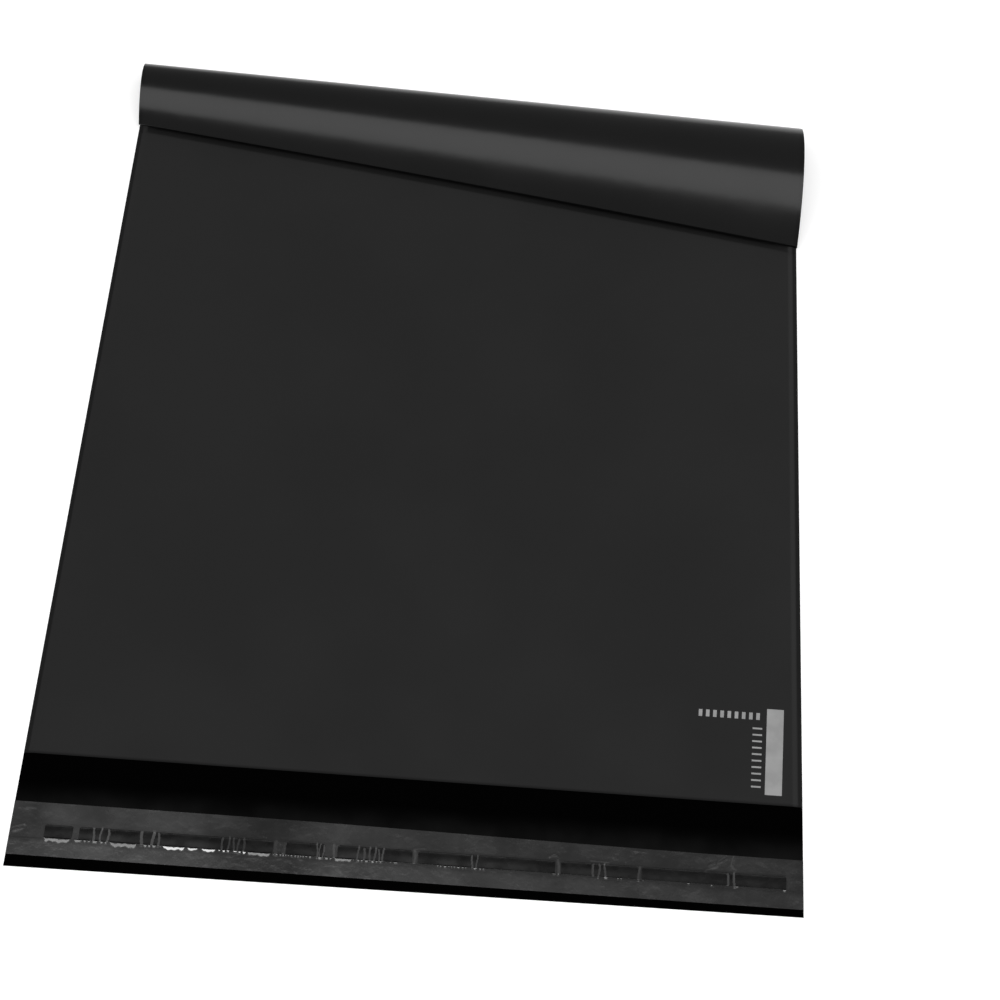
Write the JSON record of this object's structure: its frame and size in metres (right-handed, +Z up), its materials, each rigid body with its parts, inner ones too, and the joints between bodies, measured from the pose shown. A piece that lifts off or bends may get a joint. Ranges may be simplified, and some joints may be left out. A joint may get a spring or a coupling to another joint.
{
  "type": "poly mailer bag",
  "caption": "Flat black poly mailer bag with a self-seal flap, glue strip under a release liner, side welds and its closed end curled forward.",
  "frame": {"origin": "centre of the bag's footprint, on the surface that it lies on", "axes": "+Y from the flap to the closed end, +X across the bag to the right seen from the flap, +Z up from the table"},
  "size_m": [0.254, 0.3256, 0.0208],
  "materials": {
    "black_film": "satin",
    "hot_melt_glue": "gloss",
    "release_film": "satin"
  },
  "bodies": {
    "root": {"film_bag": "black_film", "glue_strip": "hot_melt_glue", "release_liner": "release_film"}
  },
  "joints": []
}
